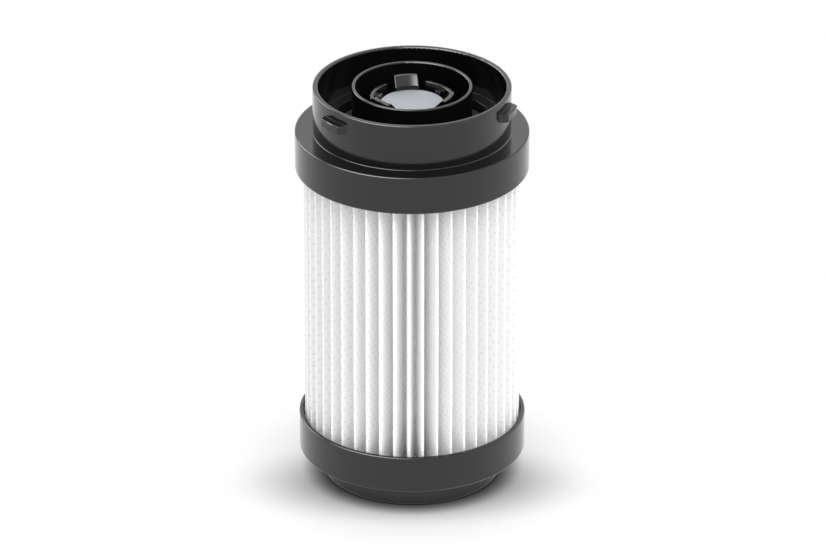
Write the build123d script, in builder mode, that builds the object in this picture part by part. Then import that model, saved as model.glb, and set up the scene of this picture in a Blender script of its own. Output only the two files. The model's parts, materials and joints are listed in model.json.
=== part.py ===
"""Replaceable pleated cartridge for a hand-pump water filter.

Water is drawn in through the pleats, through the perforated core and the carbon block, and leaves
upward through a push-to-open valve in the middle of the top cap.

Millimetres, +Z up. The origin is the centre of the foot's underside, and +Z is the cartridge's axis.
"""
from build123d import *
from math import cos, degrees, radians, sin
import os

os.makedirs("parts", exist_ok=True)

# ---- Driving dimensions -------------------------------------------------------------------------

TOTAL_HEIGHT = 108.6
WALL = 1.8
EDGE_ROUND = 0.4
FINE_ROUND = 0.2
TOUCH_GAP = 0.05            # left between pieces that touch round a cylinder
SAME = 0.01                 # heights and radii that differ by less than this are taken as one
LATCH_ANGLES = (90, 210, 330)
ARC_ANGLES = (30, 150, 270)

# Top cap: skirt, flange and bayonet collar
FLANGE_R = 30.0
FLANGE_TOP = 96.4
FLANGE_UNDERSIDE = 94.2
SKIRT_BOTTOM = 86.35
SKIRT_INNER_R = 28.15
COLLAR_R = 25.4
COLLAR_INNER_R = 24.0
LEDGE_Z = 98.4
WELL_R = 20.9
WELL_FLOOR = 94.1
DECK_UNDERSIDE = WELL_FLOOR - WALL

# Bayonet lugs on the collar, directly outside the latches
LUG_R = 27.4
LUG_BOTTOM = 103.9
LUG_HEIGHT = 2.1
LUG_SUNK = 0.3
LUG_ROOT_HALF_ANGLE = 10.0
LUG_FACE_HALF_ANGLE = 6.8
LUG_ROUND = 0.3

# Flat gasket lying in the well
GASKET_INNER_R = 16.4
GASKET_R = 20.8
GASKET_HEIGHT = 1.8

# Outlet spigot, the inner collar
SPIGOT_R = 15.4
SPIGOT_INNER_R = 14.5
SPIGOT_NECK_R = 15.8        # where it passes through the deck
SPIGOT_FLANGE_R = 20.5
SPIGOT_PLUG_R = 15.7        # where it plugs into the core tube
SPIGOT_PLUG_INNER_R = 12.6
SPIGOT_PLUG_BOTTOM = 82.7
SPIGOT_ROUND = 0.3
SHOULDER_Z = 90.4           # carries the valve body's gasket
CORE_SEAL_Z = 86.0
CORE_SEAL_GROOVE_R = 14.6
CORE_SEAL_GROOVE_WIDTH = 2.0

# Valve body: floor, sealing tube and three guide arcs
VALVE_BASE_Z = 91.2
VALVE_BASE_R = SPIGOT_INNER_R - TOUCH_GAP
VALVE_FLOOR = 93.0
VALVE_BORE_R = 5.0
VALVE_TUBE_R = 6.6
VALVE_TUBE_BOTTOM = 87.6
RING_INNER_R = 9.7
RING_R = 10.8
RING_TOP = 105.6
ARC_HALF_ANGLE = 29.5
GUIDE_INNER_R = 8.4
GUIDE_WIDTH = 2.0
GUIDE_TOP = 104.6

# Poppet and its seal and spring
POPPET_R = 8.3
POPPET_TOP = 103.8
POPPET_HEAD_HEIGHT = 1.8
POPPET_STEM_R = 3.0
PISTON_R = 4.9
PISTON_TOP = 90.2
PISTON_BOTTOM = 87.8
PISTON_GROOVE_R = 3.7
PISTON_GROOVE_WIDTH = 1.4
SPRING_R = 6.2
SPRING_WIRE_R = 0.4
SPRING_TURNS = 4

# Snap latches that hold the poppet down
LATCH_WIDTH = 6.1
LATCH_TOP = 107.1
LATCH_NOSE_R = 7.8
LATCH_NOSE_TOP = 104.95
LATCH_NOSE_BOTTOM = 103.9
LATCH_ROOT_R = (RING_R - RING_INNER_R) / 2
LATCH_HALF_SWEEP = 30       # of the ring that each latch is cut from

# Core tube and carbon
CORE_R = 17.2
CORE_INNER_R = 15.9
CORE_BOTTOM = 3.6
CORE_HOLE_R = 2.0
CORE_HOLE_ROWS = 12
CORE_HOLE_COLUMNS = 12
CORE_HOLE_PITCH = 6.0
END_PLUG_TOP = 5.1
CARBON_R = 14.9
CARBON_BORE_R = 5.0
CARBON_BOTTOM = 6.6
CARBON_TOP = 80.6
PAD_TOP = 82.6
WRAP_INNER_R = 15.0
WRAP_R = 15.8

# Pleat pack: a media ply between two support plies, folded together
PLEATS = 47
FIRST_TIP_ANGLE = -1.6
PACK_R = 27.9
PACK_INNER_R = 17.6
PACK_BOTTOM = 10.9
PACK_TOP = 89.8
SUPPORT_PLY = 0.15
MEDIA_PLY = 0.4
PLY_GAP = 0.02
TIP_HALF_WIDTH = 0.85       # of the folded edge, at the pack's outside
VALLEY_HALF_WIDTH = 0.2     # of the outer support's inner fold
SEAM_GROOVE = 12            # the groove that holds the glued ends of the sheets
SEAM_OUTER_R = 25.5
SEAM_INNER_R = 20.5

# Bottom cap and potting
BOTTOM_CAP_R = 29.3
BOTTOM_CAP_INNER_R = 28.3
BOTTOM_CAP_TOP = 16.75
BOTTOM_CAP_UNDERSIDE = 7.0
FOOT_R = 23.1
FOOT_ROUND = 0.9
FOOT_GROOVE_R = 21.4
FOOT_GROOVE_INNER_R = 19.2
FOOT_GROOVE_DEPTH = 5.2
FOOT_RIBS = 6
FOOT_RIB_WIDTH = 1.4
CUP_FLOOR = BOTTOM_CAP_UNDERSIDE + 2.0
BOTTOM_POTTING_TOP = 12.9
TOP_POTTING_BOTTOM = 88.0

PACK_THICKNESS = 2 * SUPPORT_PLY + MEDIA_PLY + 2 * PLY_GAP
PLEAT_ANGLE = 360 / PLEATS


def polar(radius, angle):
    """A point in the XY plane from its radius and its angle in degrees."""
    return (radius * cos(radians(angle)), radius * sin(radians(angle)))


def radial_plane(angle):
    """The upright plane through the axis whose first direction points outward at this angle."""
    return Plane(
        origin=(0, 0, 0),
        x_dir=(*polar(1, angle), 0),
        z_dir=(*polar(1, angle - 90), 0),
    )


def at_height(shapes, height):
    """The edges that lie at one height."""
    return shapes.filter_by_position(Axis.Z, height - SAME, height + SAME)


# ---- Top end cap --------------------------------------------------------------------------------

with BuildPart() as top_end_cap:
    with BuildSketch(Plane.XZ):
        with BuildLine():
            Polyline(
                (SKIRT_INNER_R, SKIRT_BOTTOM),
                (FLANGE_R, SKIRT_BOTTOM),
                (FLANGE_R, FLANGE_TOP),
                (COLLAR_R, FLANGE_TOP),
                (COLLAR_R, TOTAL_HEIGHT),
                (COLLAR_INNER_R, TOTAL_HEIGHT),
                (COLLAR_INNER_R, LEDGE_Z),
                (WELL_R, LEDGE_Z),
                (WELL_R, WELL_FLOOR),
                (SPIGOT_NECK_R + TOUCH_GAP, WELL_FLOOR),
                (SPIGOT_NECK_R + TOUCH_GAP, DECK_UNDERSIDE),
                (WELL_R + WALL, DECK_UNDERSIDE),
                (WELL_R + WALL, FLANGE_UNDERSIDE),
                (SKIRT_INNER_R, FLANGE_UNDERSIDE),
                close=True,
            )
        make_face()
    revolve(axis=Axis.Z)
    circles = top_end_cap.edges().filter_by(GeomType.CIRCLE)
    fillet(at_height(circles, TOTAL_HEIGHT), radius=EDGE_ROUND)
    circles = top_end_cap.edges().filter_by(GeomType.CIRCLE)
    collar_root, flange_edge = at_height(circles, FLANGE_TOP).sort_by(SortBy.RADIUS)
    fillet(flange_edge, radius=EDGE_ROUND)
    fillet(collar_root, radius=FINE_ROUND)
    circles = top_end_cap.edges().filter_by(GeomType.CIRCLE)
    fillet(at_height(circles, SKIRT_BOTTOM).sort_by(SortBy.RADIUS)[-1], radius=EDGE_ROUND)

    # Each lug is a short ramp-ended block, sunk a little into the collar wall.
    with BuildSketch(Plane.XY.offset(LUG_BOTTOM)):
        for angle in LATCH_ANGLES:
            with BuildLine():
                root_start = polar(COLLAR_R - LUG_SUNK, angle - LUG_ROOT_HALF_ANGLE)
                root_end = polar(COLLAR_R - LUG_SUNK, angle + LUG_ROOT_HALF_ANGLE)
                face_start = polar(LUG_R, angle - LUG_FACE_HALF_ANGLE)
                face_end = polar(LUG_R, angle + LUG_FACE_HALF_ANGLE)
                Line(root_start, face_start)
                ThreePointArc(face_start, polar(LUG_R, angle), face_end)
                Line(face_end, root_end)
                ThreePointArc(root_end, polar(COLLAR_R - LUG_SUNK, angle), root_start)
            make_face()
    extrude(amount=LUG_HEIGHT)
    lug_faces = top_end_cap.faces().filter_by(GeomType.CYLINDER).filter_by(
        lambda face: abs(face.radius - LUG_R) < SAME
    )
    fillet(lug_faces.edges(), radius=LUG_ROUND)

top_end_cap.part.label = "top_end_cap"
export_step(top_end_cap.part, "parts/top_end_cap.step")


# ---- Collar gasket ------------------------------------------------------------------------------

with BuildPart() as collar_gasket:
    with BuildSketch(Plane.XY.offset(WELL_FLOOR)):
        Circle(GASKET_R)
        Circle(GASKET_INNER_R, mode=Mode.SUBTRACT)
    extrude(amount=GASKET_HEIGHT)
    fillet(collar_gasket.edges().group_by(Axis.Z)[-1], radius=EDGE_ROUND)

collar_gasket.part.label = "collar_gasket"
export_step(collar_gasket.part, "parts/collar_gasket.step")


# ---- Outlet spigot, which comes up through the deck from below ----------------------------------

with BuildPart() as outlet_spigot:
    with BuildSketch(Plane.XZ):
        with BuildLine():
            Polyline(
                (SPIGOT_INNER_R, TOTAL_HEIGHT),
                (SPIGOT_R, TOTAL_HEIGHT),
                (SPIGOT_R, WELL_FLOOR),
                (SPIGOT_NECK_R, WELL_FLOOR),
                (SPIGOT_NECK_R, DECK_UNDERSIDE),
                (SPIGOT_FLANGE_R, DECK_UNDERSIDE),
                (SPIGOT_FLANGE_R, DECK_UNDERSIDE - WALL),
                (SPIGOT_PLUG_R, DECK_UNDERSIDE - WALL),
                (SPIGOT_PLUG_R, SPIGOT_PLUG_BOTTOM),
                (SPIGOT_PLUG_INNER_R, SPIGOT_PLUG_BOTTOM),
                (SPIGOT_PLUG_INNER_R, SHOULDER_Z),
                (SPIGOT_INNER_R, SHOULDER_Z),
                close=True,
            )
        make_face()
        with Locations((SPIGOT_PLUG_R, CORE_SEAL_Z)):
            Rectangle(
                2 * (SPIGOT_PLUG_R - CORE_SEAL_GROOVE_R),
                CORE_SEAL_GROOVE_WIDTH,
                mode=Mode.SUBTRACT,
            )
    revolve(axis=Axis.Z)
    fillet(outlet_spigot.edges().group_by(Axis.Z)[-1], radius=SPIGOT_ROUND)

outlet_spigot.part.label = "outlet_spigot"
export_step(outlet_spigot.part, "parts/outlet_spigot.step")


# ---- Core O-ring, between the spigot's groove and the core tube ---------------------------------

core_seal_room = CORE_INNER_R - CORE_SEAL_GROOVE_R - 2 * TOUCH_GAP

with BuildPart() as core_o_ring:
    with BuildSketch(Plane.XZ):
        with Locations(((CORE_INNER_R + CORE_SEAL_GROOVE_R) / 2, CORE_SEAL_Z)):
            Circle(core_seal_room / 2)
    revolve(axis=Axis.Z)

core_o_ring.part.label = "core_o_ring"
export_step(core_o_ring.part, "parts/core_o_ring.step")


# ---- Valve body ---------------------------------------------------------------------------------

with BuildPart() as valve_body:
    with BuildSketch(Plane.XZ):
        with BuildLine():
            Polyline(
                (VALVE_BORE_R, VALVE_TUBE_BOTTOM),
                (VALVE_TUBE_R, VALVE_TUBE_BOTTOM),
                (VALVE_TUBE_R, VALVE_BASE_Z),
                (VALVE_BASE_R, VALVE_BASE_Z),
                (VALVE_BASE_R, VALVE_FLOOR),
                (VALVE_BORE_R, VALVE_FLOOR),
                close=True,
            )
        make_face()
    revolve(axis=Axis.Z)
    for angle in ARC_ANGLES:
        with BuildSketch(radial_plane(angle - ARC_HALF_ANGLE)):
            with BuildLine():
                Polyline(
                    (RING_INNER_R, VALVE_FLOOR - EDGE_ROUND),
                    (RING_R, VALVE_FLOOR - EDGE_ROUND),
                    (RING_R, RING_TOP),
                    (RING_INNER_R, RING_TOP),
                    close=True,
                )
            make_face()
        revolve(axis=Axis.Z, revolution_arc=2 * ARC_HALF_ANGLE)
        # A rib on the inside of each arc guides the poppet's head.
        with BuildSketch(radial_plane(angle)):
            with BuildLine():
                Polyline(
                    (GUIDE_INNER_R, VALVE_FLOOR - EDGE_ROUND),
                    (RING_INNER_R + EDGE_ROUND, VALVE_FLOOR - EDGE_ROUND),
                    (RING_INNER_R + EDGE_ROUND, GUIDE_TOP),
                    (GUIDE_INNER_R, GUIDE_TOP),
                    close=True,
                )
            make_face()
        extrude(amount=GUIDE_WIDTH / 2, both=True)
    fillet(at_height(valve_body.edges(), RING_TOP), radius=FINE_ROUND)

valve_body.part.label = "valve_body"
export_step(valve_body.part, "parts/valve_body.step")


# ---- Valve body gasket --------------------------------------------------------------------------

with BuildPart() as valve_body_gasket:
    with BuildSketch(Plane.XY.offset(SHOULDER_Z)):
        Circle(VALVE_BASE_R)
        Circle(SPIGOT_PLUG_INNER_R, mode=Mode.SUBTRACT)
    extrude(amount=VALVE_BASE_Z - SHOULDER_Z)

valve_body_gasket.part.label = "valve_body_gasket"
export_step(valve_body_gasket.part, "parts/valve_body_gasket.step")


# ---- Poppet: a broad head on a stem, with a grooved piston at its foot --------------------------

with BuildPart() as valve_poppet:
    with BuildSketch(Plane.XZ):
        with BuildLine():
            Polyline(
                (0, PISTON_BOTTOM),
                (PISTON_R, PISTON_BOTTOM),
                (PISTON_R, PISTON_TOP),
                (POPPET_STEM_R, PISTON_TOP),
                (POPPET_STEM_R, POPPET_TOP - POPPET_HEAD_HEIGHT),
                (POPPET_R, POPPET_TOP - POPPET_HEAD_HEIGHT),
                (POPPET_R, POPPET_TOP),
                (0, POPPET_TOP),
                close=True,
            )
        make_face()
        with Locations((PISTON_R, (PISTON_TOP + PISTON_BOTTOM) / 2)):
            Rectangle(2 * (PISTON_R - PISTON_GROOVE_R), PISTON_GROOVE_WIDTH, mode=Mode.SUBTRACT)
    revolve(axis=Axis.Z)
    fillet(at_height(valve_poppet.edges(), POPPET_TOP), radius=EDGE_ROUND)

valve_poppet.part.label = "valve_poppet"
export_step(valve_poppet.part, "parts/valve_poppet.step")


# ---- Poppet O-ring, drawn at its squeezed size inside the bore ----------------------------------

poppet_seal_room = VALVE_BORE_R - PISTON_GROOVE_R - 2 * TOUCH_GAP

with BuildPart() as poppet_o_ring:
    with BuildSketch(Plane.XZ):
        with Locations(((VALVE_BORE_R + PISTON_GROOVE_R) / 2, (PISTON_TOP + PISTON_BOTTOM) / 2)):
            Circle(poppet_seal_room / 2)
    revolve(axis=Axis.Z)

poppet_o_ring.part.label = "poppet_o_ring"
export_step(poppet_o_ring.part, "parts/poppet_o_ring.step")


# ---- Poppet spring, round the stem between the valve floor and the head -------------------------

spring_start = VALVE_FLOOR + SPRING_WIRE_R
spring_rise = POPPET_TOP - POPPET_HEAD_HEIGHT - VALVE_FLOOR - 2 * SPRING_WIRE_R

with BuildPart() as valve_spring:
    with BuildLine():
        coil = Helix(spring_rise / SPRING_TURNS, spring_rise, SPRING_R, center=(0, 0, spring_start))
    with BuildSketch(Plane(origin=coil @ 0, z_dir=coil % 0)):
        Circle(SPRING_WIRE_R)
    sweep(path=coil, is_frenet=True)

valve_spring.part.label = "valve_spring"
export_step(valve_spring.part, "parts/valve_spring.step")


# ---- Snap latches, each on a rounded root where the real moulding bends -------------------------

# Each latch is a straight-sided slice of a ring, so its hook's ramp is a shallow hollow cone.
LATCH_MIDDLE_R = RING_INNER_R + LATCH_ROOT_R
LATCH_ROOT_Z = VALVE_FLOOR + TOUCH_GAP + LATCH_ROOT_R

for number, angle in enumerate(LATCH_ANGLES, start=1):
    with BuildPart() as valve_latch:
        with BuildSketch(radial_plane(angle - LATCH_HALF_SWEEP)):
            with BuildLine():
                Polyline(
                    (RING_INNER_R, LATCH_ROOT_Z),
                    (RING_INNER_R, LATCH_NOSE_BOTTOM),
                    (LATCH_NOSE_R, LATCH_NOSE_BOTTOM),
                    (LATCH_NOSE_R, LATCH_NOSE_TOP),
                    (RING_INNER_R, LATCH_TOP),
                    (RING_R, LATCH_TOP),
                    (RING_R, LATCH_ROOT_Z),
                )
                ThreePointArc(
                    (RING_R, LATCH_ROOT_Z),
                    (LATCH_MIDDLE_R, LATCH_ROOT_Z - LATCH_ROOT_R),
                    (RING_INNER_R, LATCH_ROOT_Z),
                )
            make_face()
        revolve(axis=Axis.Z, revolution_arc=2 * LATCH_HALF_SWEEP)
        with BuildSketch(radial_plane(angle)):
            with Locations((LATCH_MIDDLE_R, LATCH_NOSE_TOP)):
                Rectangle(LATCH_MIDDLE_R, TOTAL_HEIGHT)
        extrude(amount=LATCH_WIDTH / 2, both=True, mode=Mode.INTERSECT)
        head_edges = valve_latch.edges().filter_by_position(Axis.Z, LATCH_NOSE_TOP - FINE_ROUND, LATCH_TOP)
        fillet(head_edges, radius=FINE_ROUND)
    valve_latch.part.label = f"valve_latch_{number}"
    export_step(valve_latch.part, f"parts/valve_latch_{number}.step")


# ---- Core tube, perforated all round ------------------------------------------------------------

with BuildPart() as core_tube:
    with BuildSketch(Plane.XY.offset(CORE_BOTTOM)):
        Circle(CORE_R)
        Circle(CORE_INNER_R, mode=Mode.SUBTRACT)
    extrude(amount=DECK_UNDERSIDE - WALL - CORE_BOTTOM)
    holes_middle = (CARBON_BOTTOM + CARBON_TOP) / 2
    for column in range(CORE_HOLE_COLUMNS // 2):
        with BuildSketch(radial_plane(column * 360 / CORE_HOLE_COLUMNS)):
            with Locations((0, holes_middle)):
                with GridLocations(1, CORE_HOLE_PITCH, 1, CORE_HOLE_ROWS):
                    Circle(CORE_HOLE_R)
        extrude(amount=CORE_R + 1, both=True, mode=Mode.SUBTRACT)

core_tube.part.label = "core_tube"
export_step(core_tube.part, "parts/core_tube.step")


# ---- Core end plug, which closes the core tube at the foot --------------------------------------

with BuildPart() as core_end_plug:
    with BuildSketch(Plane.XY.offset(WALL)):
        Circle(CORE_R)
    extrude(amount=CORE_BOTTOM - WALL)
    with BuildSketch(Plane.XY.offset(CORE_BOTTOM)):
        Circle(CORE_INNER_R - TOUCH_GAP)
    extrude(amount=END_PLUG_TOP - CORE_BOTTOM)

core_end_plug.part.label = "core_end_plug"
export_step(core_end_plug.part, "parts/core_end_plug.step")


# ---- Carbon block with its wrap and pads --------------------------------------------------------

with BuildPart() as carbon_block:
    with BuildSketch(Plane.XY.offset(CARBON_BOTTOM)):
        Circle(CARBON_R)
        Circle(CARBON_BORE_R, mode=Mode.SUBTRACT)
    extrude(amount=CARBON_TOP - CARBON_BOTTOM)

carbon_block.part.label = "carbon_block"
export_step(carbon_block.part, "parts/carbon_block.step")

with BuildPart() as carbon_wrap:
    with BuildSketch(Plane.XY.offset(END_PLUG_TOP)):
        Circle(WRAP_R)
        Circle(WRAP_INNER_R, mode=Mode.SUBTRACT)
    extrude(amount=PAD_TOP - END_PLUG_TOP)

carbon_wrap.part.label = "carbon_wrap"
export_step(carbon_wrap.part, "parts/carbon_wrap.step")

with BuildPart() as carbon_top_pad:
    with BuildSketch(Plane.XY.offset(CARBON_TOP)):
        Circle(CARBON_R)
        Circle(CARBON_BORE_R, mode=Mode.SUBTRACT)
    extrude(amount=PAD_TOP - CARBON_TOP)

carbon_top_pad.part.label = "carbon_top_pad"
export_step(carbon_top_pad.part, "parts/carbon_top_pad.step")

with BuildPart() as carbon_bottom_pad:
    with BuildSketch(Plane.XY.offset(END_PLUG_TOP)):
        Circle(CARBON_R)
    extrude(amount=CARBON_BOTTOM - END_PLUG_TOP)

carbon_bottom_pad.part.label = "carbon_bottom_pad"
export_step(carbon_bottom_pad.part, "parts/carbon_bottom_pad.step")


# ---- Pleat pack ---------------------------------------------------------------------------------

CORNER_SHIFT = 0.87         # how far a fold's corner moves sideways for each unit of depth


def pleat_corners(depth):
    """Corners of the folded surface that lies this deep below the pack's outside."""
    tip_r = PACK_R - depth
    valley_r = PACK_INNER_R + PACK_THICKNESS - depth
    tip_half_angle = degrees((TIP_HALF_WIDTH - CORNER_SHIFT * depth) / tip_r)
    valley_half_angle = degrees((VALLEY_HALF_WIDTH + CORNER_SHIFT * depth) / valley_r)
    corners = []
    for pleat in range(PLEATS):
        tip = FIRST_TIP_ANGLE + pleat * PLEAT_ANGLE
        valley = tip + PLEAT_ANGLE / 2
        corners.append(polar(tip_r, tip - tip_half_angle))
        corners.append(polar(tip_r, tip + tip_half_angle))
        corners.append(polar(valley_r, valley - valley_half_angle))
        corners.append(polar(valley_r, valley + valley_half_angle))
    return corners


def folded_ply(name, depth, thickness):
    """One ply of the pack, as deep and as thick as stated, written under its node's name."""
    with BuildPart() as ply:
        with BuildSketch(Plane.XY.offset(PACK_BOTTOM)):
            with BuildLine():
                Polyline(*pleat_corners(depth), close=True)
            make_face()
            with BuildLine():
                Polyline(*pleat_corners(depth + thickness), close=True)
            make_face(mode=Mode.SUBTRACT)
        extrude(amount=PACK_TOP - PACK_BOTTOM)
    ply.part.label = name
    export_step(ply.part, f"parts/{name}.step")


media_depth = SUPPORT_PLY + PLY_GAP
folded_ply("pleat_outer_support", 0, SUPPORT_PLY)
folded_ply("pleat_media", media_depth, MEDIA_PLY)
folded_ply("pleat_inner_support", media_depth + MEDIA_PLY + PLY_GAP, SUPPORT_PLY)


# ---- Seam bead, a strip of hot melt that fills one groove's depth -------------------------------

def groove_edge(radius, side):
    """A point on one side of the seam groove, a hair clear of the sheet."""
    tip_corner_r = PACK_R
    valley_corner_r = PACK_INNER_R + PACK_THICKNESS
    share = (radius - valley_corner_r) / (tip_corner_r - valley_corner_r)
    tip_angle = PLEAT_ANGLE / 2 - degrees(TIP_HALF_WIDTH / tip_corner_r)
    valley_angle = degrees(VALLEY_HALF_WIDTH / valley_corner_r)
    half_angle = valley_angle + share * (tip_angle - valley_angle) - degrees(TOUCH_GAP / radius)
    middle = FIRST_TIP_ANGLE + (SEAM_GROOVE + 0.5) * PLEAT_ANGLE
    return polar(radius, middle + side * half_angle)


with BuildPart() as pleat_seam_bead:
    with BuildSketch(Plane.XY.offset(BOTTOM_POTTING_TOP)):
        with BuildLine():
            Polyline(
                groove_edge(SEAM_INNER_R, -1),
                groove_edge(SEAM_OUTER_R, -1),
                groove_edge(SEAM_OUTER_R, 1),
                groove_edge(SEAM_INNER_R, 1),
                close=True,
            )
        make_face()
    extrude(amount=TOP_POTTING_BOTTOM - BOTTOM_POTTING_TOP)

pleat_seam_bead.part.label = "pleat_seam_bead"
export_step(pleat_seam_bead.part, "parts/pleat_seam_bead.step")


# ---- Potting, the resin that seals both ends of the pack ----------------------------------------

PLEAT_CLEARANCE = 0.12
CORE_CLEAR_R = CORE_R + TOUCH_GAP


def pleat_pocket():
    """The sketch of the band that the pleats stand in; it breaks out through the resin's rim."""
    with BuildSketch(Plane.XY.offset(PACK_BOTTOM)) as pocket:
        with BuildLine():
            Polyline(*pleat_corners(-PLEAT_CLEARANCE), close=True)
        make_face()
        with BuildLine():
            Polyline(*pleat_corners(PACK_THICKNESS + PLY_GAP), close=True)
        make_face(mode=Mode.SUBTRACT)
    return pocket.sketch


with BuildPart() as bottom_potting:
    with BuildSketch(Plane.XY.offset(CUP_FLOOR)):
        Circle(BOTTOM_CAP_INNER_R - TOUCH_GAP)
        Circle(CORE_CLEAR_R, mode=Mode.SUBTRACT)
    extrude(amount=BOTTOM_POTTING_TOP - CUP_FLOOR)
    extrude(pleat_pocket(), amount=BOTTOM_POTTING_TOP - PACK_BOTTOM, mode=Mode.SUBTRACT)

bottom_potting.part.label = "bottom_potting"
export_step(bottom_potting.part, "parts/bottom_potting.step")

with BuildPart() as top_potting:
    with BuildSketch(Plane.XZ):
        with BuildLine():
            Polyline(
                (CORE_CLEAR_R, TOP_POTTING_BOTTOM),
                (SKIRT_INNER_R - TOUCH_GAP, TOP_POTTING_BOTTOM),
                (SKIRT_INNER_R - TOUCH_GAP, FLANGE_UNDERSIDE),
                (WELL_R + WALL + TOUCH_GAP, FLANGE_UNDERSIDE),
                (WELL_R + WALL + TOUCH_GAP, DECK_UNDERSIDE),
                (SPIGOT_FLANGE_R + TOUCH_GAP, DECK_UNDERSIDE),
                (SPIGOT_FLANGE_R + TOUCH_GAP, DECK_UNDERSIDE - WALL),
                (CORE_CLEAR_R, DECK_UNDERSIDE - WALL),
                close=True,
            )
        make_face()
    revolve(axis=Axis.Z)
    top_pocket = pleat_pocket().moved(Location((0, 0, TOP_POTTING_BOTTOM - PACK_BOTTOM)))
    extrude(top_pocket, amount=PACK_TOP - TOP_POTTING_BOTTOM, mode=Mode.SUBTRACT)

top_potting.part.label = "top_potting"
export_step(top_potting.part, "parts/top_potting.step")


# ---- Bottom end cap: a shallow cup on a foot that is grooved from below -------------------------

with BuildPart() as bottom_end_cap:
    with BuildSketch(Plane.XZ):
        with BuildLine():
            Polyline(
                (0, 0),
                (FOOT_R, 0),
                (FOOT_R, BOTTOM_CAP_UNDERSIDE),
                (BOTTOM_CAP_R, BOTTOM_CAP_UNDERSIDE),
                (BOTTOM_CAP_R, BOTTOM_CAP_TOP),
                (BOTTOM_CAP_INNER_R, BOTTOM_CAP_TOP),
                (BOTTOM_CAP_INNER_R, CUP_FLOOR),
                (CORE_CLEAR_R, CUP_FLOOR),
                (CORE_CLEAR_R, WALL),
                (0, WALL),
                close=True,
            )
        make_face()
    revolve(axis=Axis.Z)
    fillet(bottom_end_cap.edges().group_by(Axis.Z)[0], radius=FOOT_ROUND)
    circles = bottom_end_cap.edges().filter_by(GeomType.CIRCLE)
    fillet(at_height(circles, BOTTOM_CAP_UNDERSIDE).sort_by(SortBy.RADIUS)[-1], radius=EDGE_ROUND)
    fillet(at_height(circles, BOTTOM_CAP_TOP).sort_by(SortBy.RADIUS)[-1], radius=EDGE_ROUND)
    with BuildSketch():
        Circle(FOOT_GROOVE_R)
        Circle(FOOT_GROOVE_INNER_R, mode=Mode.SUBTRACT)
        with PolarLocations((FOOT_GROOVE_R + FOOT_GROOVE_INNER_R) / 2, FOOT_RIBS):
            Rectangle(2 * (FOOT_GROOVE_R - FOOT_GROOVE_INNER_R), FOOT_RIB_WIDTH, mode=Mode.SUBTRACT)
    extrude(amount=FOOT_GROOVE_DEPTH, mode=Mode.SUBTRACT)

bottom_end_cap.part.label = "bottom_end_cap"
export_step(bottom_end_cap.part, "parts/bottom_end_cap.step")
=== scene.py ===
"""Looks for the pleated pump filter cartridge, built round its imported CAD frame.

Metres, +Z up, in the CAD frame. Moulded and cast parts keep their CAD shapes and get their materials
here. The pleats' three folded sheets and the wound spring are built here in full.
"""
import json
from math import cos, pi, radians, sin

import bpy
import numpy as np
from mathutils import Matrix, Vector


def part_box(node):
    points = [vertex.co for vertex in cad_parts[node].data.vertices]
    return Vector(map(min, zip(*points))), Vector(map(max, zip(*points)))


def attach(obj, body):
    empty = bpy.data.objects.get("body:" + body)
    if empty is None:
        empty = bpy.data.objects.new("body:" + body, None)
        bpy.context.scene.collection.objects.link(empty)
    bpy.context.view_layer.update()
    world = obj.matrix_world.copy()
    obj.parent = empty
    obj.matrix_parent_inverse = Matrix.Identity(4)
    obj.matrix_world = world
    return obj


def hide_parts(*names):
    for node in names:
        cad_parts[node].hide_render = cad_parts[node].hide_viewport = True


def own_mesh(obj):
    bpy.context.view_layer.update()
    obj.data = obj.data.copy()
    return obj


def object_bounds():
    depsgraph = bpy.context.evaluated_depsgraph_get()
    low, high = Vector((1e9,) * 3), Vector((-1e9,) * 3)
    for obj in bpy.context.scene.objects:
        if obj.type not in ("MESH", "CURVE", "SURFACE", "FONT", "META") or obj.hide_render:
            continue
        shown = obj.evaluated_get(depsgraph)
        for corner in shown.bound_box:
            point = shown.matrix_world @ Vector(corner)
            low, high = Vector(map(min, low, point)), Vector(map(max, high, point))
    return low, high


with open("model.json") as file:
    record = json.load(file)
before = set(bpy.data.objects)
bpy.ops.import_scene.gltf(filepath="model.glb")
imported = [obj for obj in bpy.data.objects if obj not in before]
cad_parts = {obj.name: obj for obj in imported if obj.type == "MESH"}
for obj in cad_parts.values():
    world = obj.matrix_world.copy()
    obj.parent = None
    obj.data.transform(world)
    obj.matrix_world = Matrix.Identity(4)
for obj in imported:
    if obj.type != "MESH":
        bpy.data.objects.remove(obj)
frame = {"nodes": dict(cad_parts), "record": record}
cad_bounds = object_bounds()

MM = 0.001
UNEVENNESS_SEED = 47
rng = np.random.default_rng(UNEVENNESS_SEED)


# ---- Measures taken from the frame --------------------------------------------------------------

def plan_points(node):
    """A node's corners seen from above, and each one's distance from the cartridge's axis."""
    points = np.array([v.co[:2] for v in frame["nodes"][node].data.vertices])
    return points, np.hypot(points[:, 0], points[:, 1])


def node_radii(node):
    """Smallest and largest distance of a node's corners from the cartridge's axis."""
    _, lengths = plan_points(node)
    return lengths.min(), lengths.max()


def pleat_tips(node):
    """The angle of each fold's outer edge, in radians, going round once.

    In the CAD each fold's outer edge is flat, so it shows as two angles close together.
    """
    points, lengths = plan_points(node)
    outer = points[lengths > lengths.max() - 0.01 * MM]
    angles = np.unique(np.round(np.arctan2(outer[:, 1], outer[:, 0]) % (2 * pi), 4))
    gaps = np.diff(np.append(angles, angles[0] + 2 * pi))
    if gaps[0] >= gaps[1]:
        angles = np.roll(angles, -1)
    starts = angles[0::2]
    ends = angles[1::2]
    return starts + (ends - starts) % (2 * pi) / 2


TIPS = pleat_tips("pleat_outer_support")
PLEATS = len(TIPS)
PACK_R = node_radii("pleat_outer_support")[1]
PACK_INNER_R = node_radii("pleat_inner_support")[0]
PACK_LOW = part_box("pleat_outer_support")[0].z
PACK_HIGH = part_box("pleat_outer_support")[1].z


# ---- Mesh helpers -------------------------------------------------------------------------------

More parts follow.
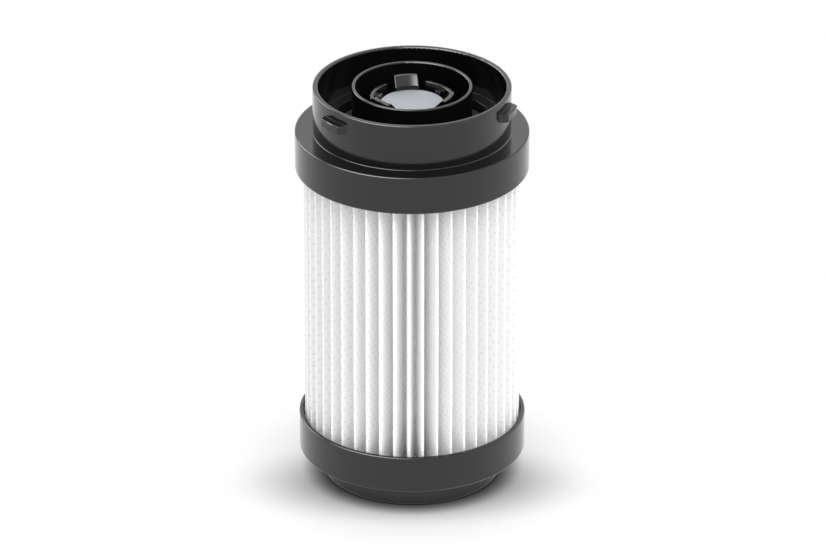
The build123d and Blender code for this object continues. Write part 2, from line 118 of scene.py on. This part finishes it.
def mesh_object(name, vertices, faces, smooth=True):
    """A new object of the scene from plain vertices and faces."""
    mesh = bpy.data.meshes.new(name)
    mesh.from_pydata([tuple(v) for v in vertices], [], [tuple(f) for f in faces])
    mesh.polygons.foreach_set("use_smooth", [smooth] * len(mesh.polygons))
    mesh.update()
    piece = bpy.data.objects.new(name, mesh)
    bpy.context.scene.collection.objects.link(piece)
    return piece


def ring_faces(columns, rows, start=0, flip=False):
    """Quads of a grid whose last column joins its first.

    Its point (column, row) is numbered start + row * columns + column.
    """
    faces = []
    for row in range(rows - 1):
        for column in range(columns):
            beside = (column + 1) % columns
            a = start + row * columns + column
            b = start + row * columns + beside
            c = start + (row + 1) * columns + beside
            d = start + (row + 1) * columns + column
            faces.append((d, c, b, a) if flip else (a, b, c, d))
    return faces


# ---- Material helpers ---------------------------------------------------------------------------

class Shader:
    """A material's node tree, with short ways to add and join nodes."""

    def __init__(self, name):
        self.material = bpy.data.materials.new(name)
        self.material.use_nodes = True
        self.tree = self.material.node_tree
        self.surface = self.tree.nodes["Principled BSDF"]

    @classmethod
    def of_tree(cls, tree):
        """The same short ways, on a node tree that isn't a material's."""
        shader = cls.__new__(cls)
        shader.tree = tree
        return shader

    def add(self, kind, values=None, **settings):
        """A new node: values go to its inputs, settings to its own properties."""
        node = self.tree.nodes.new(kind)
        for key, value in settings.items():
            setattr(node, key, value)
        for key, value in (values or {}).items():
            self.put(node, key, value)
        return node

    def put(self, node, key, value):
        """Sets an input, or joins it to another node's first or named output."""
        if isinstance(value, bpy.types.Node):
            value = value.outputs[0]
        if isinstance(value, bpy.types.NodeSocket):
            self.tree.links.new(value, node.inputs[key])
        else:
            node.inputs[key].default_value = value

    def math(self, operation, a, b=0.0):
        return self.add("ShaderNodeMath", {0: a, 1: b}, operation=operation)

    def vector(self, operation, a, b=(0.0, 0.0, 0.0)):
        return self.add("ShaderNodeVectorMath", {0: a, 1: b}, operation=operation)

    def length(self, vector):
        return self.vector("LENGTH", vector).outputs["Value"]

    def spread(self, value, low, high, to_low, to_high):
        """Maps a value from one range onto another, held inside it."""
        return self.add(
            "ShaderNodeMapRange",
            {"Value": value, "From Min": low, "From Max": high, "To Min": to_low, "To Max": to_high},
        )

    def patches(self, noise, low, high):
        """Turns the middle of a noise's range into values from low to high."""
        return self.spread(noise, 0.3, 0.7, low, high)

    def noise(self, scale, detail=2.0, vector=None, roughness=0.5):
        """Cloudy noise of so many patches to the metre, or to the unit of the vector given."""
        node = self.add("ShaderNodeTexNoise", {"Scale": scale, "Detail": detail, "Roughness": roughness})
        self.put(node, "Vector", vector or self.place())
        return node

    def place(self):
        """Position in the piece's own frame, in metres."""
        return self.add("ShaderNodeTexCoord").outputs["Object"]

    def mix(self, factor, first, second):
        """A colour between two others."""
        node = self.add("ShaderNodeMix", data_type="RGBA")
        self.put(node, 0, factor)
        self.put(node, 6, first)
        self.put(node, 7, second)
        return node.outputs[2]

    def bump(self, height, distance, normal=None):
        """Relief as high as the distance, on top of the surface or of another relief."""
        node = self.add("ShaderNodeBump", {"Height": height, "Distance": distance, "Strength": 1.0})
        if normal is not None:
            self.put(node, "Normal", normal)
        return node

    def finish(self, **inputs):
        """Sets the surface's inputs by name, underscores for spaces, and gives the material."""
        for key, value in inputs.items():
            self.put(self.surface, key.replace("_", " "), value)
        return self.material


def grey(level, warmth=0.0):
    """A near-neutral colour."""
    return (level * (1 + warmth), level, level * (1 - warmth), 1.0)


def moulded_black(name):
    """Glossy moulded plastic: rounded edges, a faint orange peel and patches a little duller."""
    s = Shader(name)
    duller = s.noise(90, 3.0)
    grain = s.noise(1600, 2.0)
    roughness = s.patches(duller, 0.10, 0.17)
    colour = s.mix(duller, grey(0.0030), grey(0.0045))
    rounded_edges = s.add("ShaderNodeBevel", {"Radius": 0.22 * MM}, samples=6)
    peel = s.bump(s.noise(420, 1.0), 0.0025 * MM, rounded_edges)
    surface = s.bump(grain, 0.0015 * MM, peel)
    return s.finish(Base_Color=colour, Roughness=roughness, IOR=1.5, Normal=surface)


def black_rubber(name):
    """Matt rubber with a cloudy bloom."""
    s = Shader(name)
    bloom = s.noise(300, 4.0)
    surface = s.bump(s.noise(3000, 2.0), 0.004 * MM)
    colour = s.mix(bloom, grey(0.008), grey(0.016))
    return s.finish(Base_Color=colour, Roughness=s.patches(bloom, 0.5, 0.68), Normal=surface)


def natural_acetal(name):
    """The poppet's milky plastic, which light enters a little."""
    s = Shader(name)
    cloud = s.noise(140, 3.0)
    colour = s.mix(cloud, (0.255, 0.27, 0.29, 1), (0.29, 0.305, 0.325, 1))
    surface = s.bump(s.noise(1500, 2.0), 0.003 * MM)
    return s.finish(
        Base_Color=colour,
        Roughness=s.patches(cloud, 0.32, 0.42),
        Subsurface_Weight=0.15,
        Subsurface_Radius=(MM, MM, MM),
        Normal=surface,
    )


def bond_points(s, along, height):
    """One at the middle of each bond point and nought outside it, on the sheet's staggered lattice."""
    column = s.math("MULTIPLY", along, BOND_COLUMNS)
    nearest = s.math("ROUND", column)
    across = s.math("MULTIPLY", s.math("SUBTRACT", column, nearest), FOLD_LENGTH / MM / BOND_COLUMNS)
    stagger = s.math("MULTIPLY", s.math("PINGPONG", nearest, 1.0), 0.5)
    row = s.math("ADD", s.math("DIVIDE", s.math("SUBTRACT", height, BOND_START), BOND_PITCH), stagger)
    down = s.math("MULTIPLY", s.math("SUBTRACT", row, s.math("ROUND", row)), BOND_PITCH)
    offset = s.add("ShaderNodeCombineXYZ", {0: s.math("MULTIPLY", across, 1 / BOND_STRETCH), 1: down})
    return s.spread(s.length(offset), *BOND_EDGE, 1.0, 0.0)


def support_fabric(name):
    """Point-bonded spunbond: cloudy fibre cover and rows of small pressed bond points, painted darker as
    the shade in their dents.
    """
    s = Shader(name)
    sheet = s.add("ShaderNodeUVMap", uv_map="sheet")
    split = s.add("ShaderNodeSeparateXYZ", {0: sheet})
    along = split.outputs[0]
    height = split.outputs[1]
    bond = bond_points(s, along, height)
    fibre_place = s.add("ShaderNodeCombineXYZ", {0: s.math("MULTIPLY", along, FOLD_LENGTH / MM), 1: height})
    cloud = s.noise(0.9, 3.0, fibre_place)
    fibres = s.noise(7.0, 4.0, fibre_place, 0.7)
    cover = s.mix(cloud, grey(0.94), grey(0.97))
    fine = s.mix(s.spread(fibres, 0.35, 0.65, 0.0, 0.5), cover, grey(0.86))
    # Painted shade: the bond points are coloured darker for the shade in their pressed dents, besides their
    # pressed relief.
    colour = s.mix(s.math("MULTIPLY", bond, 0.30), fine, grey(0.50))
    pressed = s.bump(s.math("SUBTRACT", 1.0, bond), 0.05 * MM)
    creases = s.noise(1.0, 3.0, s.vector("MULTIPLY", fibre_place, CREASE_STRETCH))
    near_resin = s.spread(height, *CREASED, 1.0, 0.0)
    pulled = s.bump(s.math("MULTIPLY", creases, near_resin), 0.25 * MM, pressed)
    surface = s.bump(fibres, 0.015 * MM, pulled)
    return s.finish(Base_Color=colour, Roughness=0.75, IOR=1.35, Normal=surface)


def glass_fibre(name):
    """Glass-fibre sheet: white, matt and finely felted."""
    s = Shader(name)
    felted = s.noise(2500, 5.0)
    colour = s.mix(felted, grey(0.82), grey(0.93))
    return s.finish(Base_Color=colour, Roughness=0.9, Normal=s.bump(felted, 0.03 * MM))


def cast_resin(name):
    """Cast polyurethane: waxy, slightly warm and faintly uneven."""
    s = Shader(name)
    cloud = s.noise(200, 3.0)
    colour = s.mix(cloud, grey(0.55, 0.02), grey(0.66, 0.02))
    surface = s.bump(s.noise(700, 2.0), 0.01 * MM)
    return s.finish(Base_Color=colour, Roughness=s.patches(cloud, 0.25, 0.4), Normal=surface)


def hot_melt(name):
    """Milky adhesive, a little lumpy."""
    s = Shader(name)
    cloud = s.noise(350, 3.0)
    colour = s.mix(cloud, grey(0.72, 0.03), grey(0.82, 0.03))
    surface = s.bump(cloud, 0.04 * MM)
    return s.finish(Base_Color=colour, Roughness=0.32, Subsurface_Weight=0.2, Normal=surface)


def natural_polypropylene(name):
    """Uncoloured moulded plastic, satin."""
    s = Shader(name)
    cloud = s.noise(160, 2.0)
    colour = s.mix(cloud, grey(0.72), grey(0.78))
    surface = s.bump(cloud, 0.01 * MM)
    return s.finish(Base_Color=colour, Roughness=s.patches(cloud, 0.35, 0.5), Normal=surface)


def pressed_carbon(name):
    """Activated carbon pressed into a block: black grains with dull grey glints and pores."""
    s = Shader(name)
    grains = s.add("ShaderNodeTexVoronoi", {"Scale": 2200.0, "Vector": s.place()})
    pores = s.noise(900, 4.0)
    colour = s.mix(grains.outputs["Color"], grey(0.004), grey(0.03))
    surface = s.bump(s.math("ADD", grains.outputs["Distance"], pores), 0.12 * MM)
    return s.finish(Base_Color=colour, Roughness=0.8, Normal=surface)


def needle_felt(name):
    """White felt with raised tufts."""
    s = Shader(name)
    tufts = s.noise(1800, 6.0, roughness=0.75)
    colour = s.mix(tufts, grey(0.62), grey(0.85))
    return s.finish(Base_Color=colour, Roughness=0.95, Sheen_Weight=0.2, Normal=s.bump(tufts, 0.1 * MM))


def drawn_wire(name):
    """Stainless wire, finely streaked by drawing."""
    s = Shader(name)
    draw = s.noise(4000, 2.0)
    return s.finish(
        Base_Color=grey(0.62),
        Metallic=1.0,
        Roughness=s.patches(draw, 0.18, 0.32),
        Normal=s.bump(draw, 0.002 * MM),
    )


def paint(piece, material):
    """Gives a piece one material."""
    piece.data.materials.clear()
    piece.data.materials.append(material)


# ---- Pleat pack: three sheets folded together ---------------------------------------------------

# The CAD's three plies, told apart by how deep each lies under the pack's outside. The real sheets are
# pressed together where they fold, so each lies less deep than in the CAD.
PRESSED = 0.47
PLY_DEPTHS = {
    node: PRESSED * (PACK_R - node_radii(node)[1])
    for node in ("pleat_outer_support", "pleat_media", "pleat_inner_support")
}
PLY_GAP = 0.02 * MM
STACK = PLY_DEPTHS["pleat_inner_support"] + PLY_DEPTHS["pleat_media"] - PLY_GAP
HALF_PITCH = pi / PLEATS

# The stack's middle bends with these radii at a tip and at a valley.
TIP_BEND = STACK / 2 + 0.01 * MM
VALLEY_BEND = STACK / 2 + 0.12 * MM

# How finely the folds are drawn.
TIP_STEPS = 10
FLANK_STEPS = 5
VALLEY_STEPS = 5
SHEET_ROWS = 31

# The bond points' lattice: columns to a fold. Then in millimetres, how far apart the rows are, where one
# of them lies, and how far from its middle a point is full and gone. Last, its width over its height.
BOND_COLUMNS = 20
BOND_PITCH = 3.47
BOND_START = 62.9
BOND_EDGE = (0.12, 0.28)
BOND_STRETCH = 2.0

# Heights between which the creases above the bottom resin die out, in millimetres, and how fine the
# creases are along the sheet and up it.
CREASED = (PACK_LOW / MM + 5, PACK_LOW / MM + 14)
CREASE_STRETCH = (0.3, 1.5, 1.0)


def arc(centre, radius, start, end, steps):
    """Points on an arc, both ends included."""
    angles = np.linspace(start, end, steps + 1)
    return np.stack([centre[0] + radius * np.cos(angles), centre[1] + radius * np.sin(angles)], axis=1)


def fold_half(offset):
    """Half of one fold, from its tip to the middle of the next valley, in the tip's own frame.

    The tip points along +X. Offset is how far this surface lies outside the stack's middle.
    """
    tip_centre = np.array([PACK_R - STACK / 2 - TIP_BEND, 0.0])
    valley_reach = PACK_INNER_R + STACK / 2 + VALLEY_BEND
    valley_centre = valley_reach * np.array([cos(HALF_PITCH), sin(HALF_PITCH)])
    span = valley_centre - tip_centre
    distance = np.hypot(*span)
    along = span / distance
    aside = np.array([along[1], -along[0]])
    lean = (TIP_BEND + VALLEY_BEND) / distance
    flank_normal = along * lean + aside * np.sqrt(1 - lean * lean)
    turn = np.arctan2(flank_normal[1], flank_normal[0])
    tip = arc(tip_centre, TIP_BEND + offset, 0, turn, TIP_STEPS)
    valley = arc(valley_centre, VALLEY_BEND - offset, turn + pi, HALF_PITCH + pi, VALLEY_STEPS)
    shares = np.linspace(0, 1, FLANK_STEPS + 1)[1:-1, None]
    flank = tip[-1] + shares * (valley[0] - tip[-1])
    return np.concatenate([tip, flank, valley])


def lengths_along(points):
    """Distance walked along a line of points, at each point."""
    steps = np.hypot(*np.diff(points, axis=0).T)
    return np.concatenate([[0], np.cumsum(steps)])


FOLD_LENGTH = 2 * lengths_along(fold_half(STACK / 2))[-1]

# Unevenness of the folds, shared by all three plies so that they stay nested: how far each tip lies to
# one side (all lean a little the same way), how it bows and sways on its way up, and how far it sinks.
TIP_LEAN = -0.15 * MM
TIP_SPREAD = 0.10 * MM
BOW_SPREAD = 0.06 * MM
SWAY_SPREAD = 0.03 * MM
DEEPEST_SINK = 0.12 * MM
tip_shift = rng.normal(TIP_LEAN, TIP_SPREAD, PLEATS)
bow = rng.normal(0, BOW_SPREAD, PLEATS)
sway = rng.normal(0, SWAY_SPREAD, PLEATS)
sway_phase = rng.uniform(0, 2 * pi, PLEATS)
tip_sink = rng.uniform(0, DEEPEST_SINK, PLEATS)


def wrap_fold(offset):
    """The sheet's whole cross-section: its points, its place along the sheet in folds, and its pleat."""
    half = fold_half(offset)
    walked = lengths_along(half) / FOLD_LENGTH
    # The near half is the far half mirrored, less its two end points, which its neighbours hold.
    near_half = half[-2:0:-1] * (1, -1)
    near_walked = -walked[-2:0:-1]
    section = np.concatenate([near_half, half])
    place = np.concatenate([near_walked, walked])
    points = []
    places = []
    owners = []
    for pleat, tip in enumerate(TIPS):
        turn = np.array([[cos(tip), sin(tip)], [-sin(tip), cos(tip)]])
        points.append(section @ turn)
        places.append(pleat + place)
        owners.append(np.full(len(section), pleat))
    return np.concatenate(points), np.concatenate(places), np.concatenate(owners)


def bent(points, owners, share_up):
    """A cross-section's points, moved as real folds wander, at a height given as a share."""
    radius = np.hypot(points[:, 0], points[:, 1])
    outward = np.clip((radius - PACK_INNER_R) / (PACK_R - PACK_INNER_R), 0, 1)
    rise = sin(pi * share_up)
    shift = tip_shift + rise * bow + rise * sway * np.sin(2 * pi * share_up + sway_phase)
    turned = np.arctan2(points[:, 1], points[:, 0]) + outward**2 * shift[owners] / PACK_R
    sunk = radius - outward**2 * tip_sink[owners]
    return np.stack([sunk * np.cos(turned), sunk * np.sin(turned)], axis=1)


def double_skin_faces(columns):
    """Faces of a sheet's outer skin, its inner skin, and the two end edges that join them."""
    skin = columns * SHEET_ROWS
    top = skin - columns
    faces = ring_faces(columns, SHEET_ROWS)
    faces += ring_faces(columns, SHEET_ROWS, start=skin, flip=True)
    for column in range(columns):
        beside = (column + 1) % columns
        faces.append((beside, column, skin + column, skin + beside))
        faces.append((top + column, top + beside, skin + top + beside, skin + top + column))
    return faces


def unroll(sheet, places, heights):
    """Gives a sheet its flat coordinates: folds walked along it, and height in millimetres."""
    corner_vertices = np.zeros(len(sheet.data.loops), int)
    sheet.data.loops.foreach_get("vertex_index", corner_vertices)
    columns = len(places)
    row_of = corner_vertices // columns % len(heights)
    along = places[corner_vertices % columns].reshape(-1, 4)
    # The last fold's far side closes on the first, so there the count goes on past the last fold.
    beyond = along.max(axis=1, keepdims=True) - along > PLEATS / 2
    along = np.where(beyond, along + PLEATS, along).ravel()
    layer = sheet.data.uv_layers.new(name="sheet")
    layer.data.foreach_set("uv", np.stack([along, heights[row_of] / MM], axis=1).ravel())


def folded_sheet(name, node, thickness, material):
    """One ply as a closed sheet with its own thickness, from the resin at one end to the other."""
    depth = PLY_DEPTHS[node]
    outer, places, owners = wrap_fold(STACK / 2 - depth)
    inner, _, _ = wrap_fold(STACK / 2 - depth - thickness)
    shares = np.linspace(0, 1, SHEET_ROWS)
    heights = PACK_LOW + shares * (PACK_HIGH - PACK_LOW)
    rows = []
    for surface in (outer, inner):
        for share, height in zip(shares, heights):
            level = np.full((len(surface), 1), height)
            rows.append(np.concatenate([bent(surface, owners, share), level], axis=1))
    sheet = mesh_object(name, np.concatenate(rows), double_skin_faces(len(outer)))
    unroll(sheet, places, heights)
    paint(sheet, material)
    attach(sheet, "cartridge")
    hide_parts(node)
    return sheet


SUPPORT_THICKNESS = 0.07 * MM
MEDIA_THICKNESS = PLY_DEPTHS["pleat_inner_support"] - PLY_DEPTHS["pleat_media"] - PLY_GAP
spunbond = support_fabric("support_fabric")
media_finish = glass_fibre("glass_fibre_media")
outer_support = folded_sheet("outer_support_sheet", "pleat_outer_support", SUPPORT_THICKNESS, spunbond)
media = folded_sheet("media_sheet", "pleat_media", MEDIA_THICKNESS, media_finish)
inner_support = folded_sheet("inner_support_sheet", "pleat_inner_support", SUPPORT_THICKNESS, spunbond)


# ---- Poppet spring: wound wire, its end turns closed and ground flat -----------------------------

SPRING_TURNS = 7
TURN_STEPS = 48
WIRE_SIDES = 14

# In wire radii: how far the wire's middle lies from the face its end is ground to, and how far apart the
# middles of two turns lie that all but touch.
GROUND_SHARE = 0.3
CLOSE_SHARE = 2.04


def wound_spring(name, node):
    """A ground coil in a node's place: its end turns lie close, and those between share the rest."""
    low, high = (corner.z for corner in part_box(node))
    inner, outer = node_radii(node)
    wire = (outer - inner) / 2
    coil = (outer + inner) / 2
    first = low + GROUND_SHARE * wire
    last = high - GROUND_SHARE * wire
    close_turn = CLOSE_SHARE * wire
    turns = np.linspace(0, SPRING_TURNS, SPRING_TURNS * TURN_STEPS + 1)
    climb = np.interp(
        turns, [0, 1, SPRING_TURNS - 1, SPRING_TURNS], [first, first + close_turn, last - close_turn, last]
    )
    round_wire = np.linspace(0, 2 * pi, WIRE_SIDES, endpoint=False)
    reach = coil + wire * np.cos(round_wire)
    rings = []
    for turn, height in zip(turns, climb):
        level = np.clip(height + wire * np.sin(round_wire), low, high)
        angle = 2 * pi * turn
        rings.append(np.stack([reach * cos(angle), reach * sin(angle), level], axis=1))
    vertices = np.concatenate(rings)
    faces = ring_faces(WIRE_SIDES, len(turns), flip=True)
    faces.append(tuple(range(WIRE_SIDES)))
    faces.append(tuple(range(len(vertices) - 1, len(vertices) - WIRE_SIDES - 1, -1)))
    return mesh_object(name, vertices, faces)


spring = wound_spring("poppet_spring", "valve_spring")
paint(spring, drawn_wire("spring_steel"))
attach(spring, "cartridge")
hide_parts("valve_spring")
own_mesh(spring)


# ---- Other materials on the CAD's own shapes ----------------------------------------------------

CAD_FINISHES = {
    "black_plastic": moulded_black("black_plastic"),
    "black_rubber": black_rubber("black_rubber"),
    "poppet_plastic": natural_acetal("poppet_plastic"),
    "core_plastic": natural_polypropylene("core_plastic"),
    "carbon": pressed_carbon("carbon"),
    "felt": needle_felt("felt"),
    "hot_melt": hot_melt("hot_melt"),
    "resin": cast_resin("resin"),
}

for part in frame["record"]["subparts"]:
    node = frame["nodes"][part["node"]]
    if part["material_slot"] in CAD_FINISHES:
        paint(node, CAD_FINISHES[part["material_slot"]])


# ---- Stage: a white floor with a painted soft contact shadow, a white surround, one lamp and a camera ----

# The camera stands a little to the left of the -Y axis, looks down at the cartridge and aims just above
# its middle, given as a share of its height. The picture is shifted sideways by this share of its width.
CAMERA_AZIMUTH = radians(-9.6)
CAMERA_ELEVATION = radians(25.845)
CAMERA_DISTANCE = 1.7782
CAMERA_AIM_SHARE = 0.506
CAMERA_LENS_MM = 300.85
SENSOR_WIDTH_MM = 36
CAMERA_SHIFT = 0.0005
CAMERA_CLIP_END = 50

# The key lamp stands in front on the right. Matt surfaces see it and glossy ones don't.
KEY_PLACE = (0.6, -0.8, 1.1)
KEY_AIM = (0, 0, 0.05)
KEY_SIZE = 0.7
KEY_POWER = 7.8

# Light goes to and fro many times between the white folds.
DIFFUSE_BOUNCES = 12

# Brightness of the surround: as it lights matt surfaces, from the horizon and from overhead, and as
# glossy surfaces mirror it.
SURROUND_LIGHT = (0.10, 2.05)
SURROUND_MIRRORED = 1.25

# The floor's shadow is painted into its glow from ambient occlusion, and no lamp casts it. It is darkest
# where the foot meets it: how far each part of that reaches, and how steep it is. Round it lies a wide,
# shallow painted pool of shadow, a little in front, shaped as a long lamp overhead would cast it. Its
# measures are the camera's right, away and up; the shift comes after the squeeze.
PAINTED_CONTACT_SHADOW = ((6 * MM, 2.3), (20 * MM, 0.45))
SHADOW_POOL_SQUEEZE = (1.0, 2.0, 1.0)
SHADOW_POOL_SHIFT = (0.0, 21 * MM, 0.0)
SHADOW_POOL_REACH = 52 * MM
SHADOW_POOL_DEPTH = 0.95

# Mirrored in the black parts, the floor's glow is a little brighter, and its painted shadow is weaker, by
# this power.
FLOOR_MIRRORED = 1.16
MIRRORED_SHADOW = 0.27

FLOOR_HALF_SIDE = 6.0
SHADOW_SAMPLES = 16


def floor_with_painted_shadow():
    """A plain floor that glows white, with a painted soft pool of shadow, darkest where the foot meets it;
    no lamp casts it.
    """
    side = FLOOR_HALF_SIDE
    corners = [(-side, -side, 0), (side, -side, 0), (side, side, 0), (-side, side, 0)]
    floor = mesh_object("floor", corners, [(0, 1, 2, 3)], smooth=False)
    s = Shader("floor_with_painted_shadow")
    # Painted shadow: the floor's glow is dimmed by ambient occlusion near the parts and by the pool, not by
    # any lamp.
    contact = 1.0
    for reach, power in PAINTED_CONTACT_SHADOW:
        occlusion = s.add("ShaderNodeAmbientOcclusion", {"Distance": reach}, samples=SHADOW_SAMPLES)
        contact = s.math("MULTIPLY", contact, s.math("POWER", occlusion.outputs["AO"], power))
    place = s.add("ShaderNodeMapping", {"Vector": s.place(), "Location": SHADOW_POOL_SHIFT, "Scale": SHADOW_POOL_SQUEEZE})
    pool = s.spread(s.length(place), 0.0, SHADOW_POOL_REACH, SHADOW_POOL_DEPTH, 0.0)
    pool.interpolation_type = "SMOOTHSTEP"
    light = s.math("MULTIPLY", contact, s.math("SUBTRACT", 1.0, pool))
    seen = s.add("ShaderNodeLightPath").outputs["Is Camera Ray"]
    fill = s.math("MULTIPLY", s.math("POWER", light, MIRRORED_SHADOW), FLOOR_MIRRORED)
    light = s.add("ShaderNodeMix", {0: seen, 2: fill, 3: light})
    glow = s.add("ShaderNodeEmission", {"Color": (1, 1, 1, 1), "Strength": light})
    output = s.tree.nodes["Material Output"]
    s.tree.links.new(glow.outputs[0], output.inputs["Surface"])
    paint(floor, s.material)
    floor.rotation_euler.z = CAMERA_AZIMUTH


def seen_from_camera(right, away, up):
    """A direction given as the camera's right, away from it and up, turned into the frame."""
    across = right * cos(CAMERA_AZIMUTH) - away * sin(CAMERA_AZIMUTH)
    deep = right * sin(CAMERA_AZIMUTH) + away * cos(CAMERA_AZIMUTH)
    return Vector((across, deep, up)).normalized()


# Soft boxes that only reflections see: where each stands, the angles at which it is full and gone, and
# its brightness.
SOFT_BOXES = (
    (seen_from_camera(-0.50, -0.30, 0.81), radians(18), radians(38), 9.5),
    (seen_from_camera(-0.70, 0.58, 0.42), radians(8), radians(22), 6.0),
)

# They show only in a first reflection, which the surround sees at a ray depth of 2.
SOFT_BOX_DEPTH = 2.5


def white_surround():
    """The white surround, which is not the same for every kind of ray.

    The camera sees plain white, matt surfaces are lit more from overhead, and glossy surfaces mirror an
    even white with soft boxes in it.
    """
    world = bpy.data.worlds.new("white_surround")
    world.use_nodes = True
    s = Shader.of_tree(world.node_tree)
    toward = s.add("ShaderNodeTexCoord").outputs["Generated"]
    boxes = 0.0
    for direction, full, gone, brightness in SOFT_BOXES:
        facing = s.vector("DOT_PRODUCT", toward, direction).outputs["Value"]
        box = s.spread(facing, cos(gone), cos(full), 0.0, brightness)
        box.interpolation_type = "SMOOTHSTEP"
        boxes = s.math("ADD", boxes, box)
    path = s.add("ShaderNodeLightPath").outputs
    early = s.math("LESS_THAN", path["Ray Depth"], SOFT_BOX_DEPTH)
    mirrored = s.math("ADD", SURROUND_MIRRORED, s.math("MULTIPLY", boxes, early))
    height = s.add("ShaderNodeSeparateXYZ", {0: toward}).outputs["Z"]
    lit = s.spread(height, 0.0, 1.0, *SURROUND_LIGHT)
    background = s.tree.nodes["Background"]
    s.put(background, "Color", (1, 1, 1, 1))
    unseen = s.add("ShaderNodeMix", {0: path["Is Glossy Ray"], 2: lit, 3: mirrored})
    s.put(background, "Strength", s.add("ShaderNodeMix", {0: path["Is Camera Ray"], 2: unseen, 3: 1.0}))
    bpy.context.scene.world = world


def key_light():
    """A square soft lamp that glossy surfaces don't mirror."""
    light = bpy.data.lights.new("key", "AREA")
    light.size = KEY_SIZE
    light.energy = KEY_POWER
    lamp = bpy.data.objects.new("key", light)
    lamp.location = KEY_PLACE
    lamp.rotation_euler = (Vector(KEY_AIM) - Vector(KEY_PLACE)).to_track_quat("-Z", "Y").to_euler()
    lamp.visible_glossy = False
    bpy.context.scene.collection.objects.link(lamp)


def photo_camera():
    """The scene's camera, at the photo's viewing angle."""
    aim = Vector((0, 0, CAMERA_AIM_SHARE * cad_bounds[1][2]))
    back = seen_from_camera(0, -cos(CAMERA_ELEVATION), sin(CAMERA_ELEVATION))
    lens = bpy.data.cameras.new("camera")
    lens.sensor_width = SENSOR_WIDTH_MM
    lens.lens = CAMERA_LENS_MM
    lens.shift_x = CAMERA_SHIFT
    lens.clip_end = CAMERA_CLIP_END
    camera = bpy.data.objects.new("camera", lens)
    camera.location = aim + back * CAMERA_DISTANCE
    camera.rotation_euler = (-back).to_track_quat("-Z", "Y").to_euler()
    bpy.context.scene.collection.objects.link(camera)
    bpy.context.scene.camera = camera


floor_with_painted_shadow()
white_surround()
key_light()
photo_camera()
bpy.context.scene.cycles.diffuse_bounces = DIFFUSE_BOUNCES
bpy.context.scene.view_settings.view_transform = "Standard"
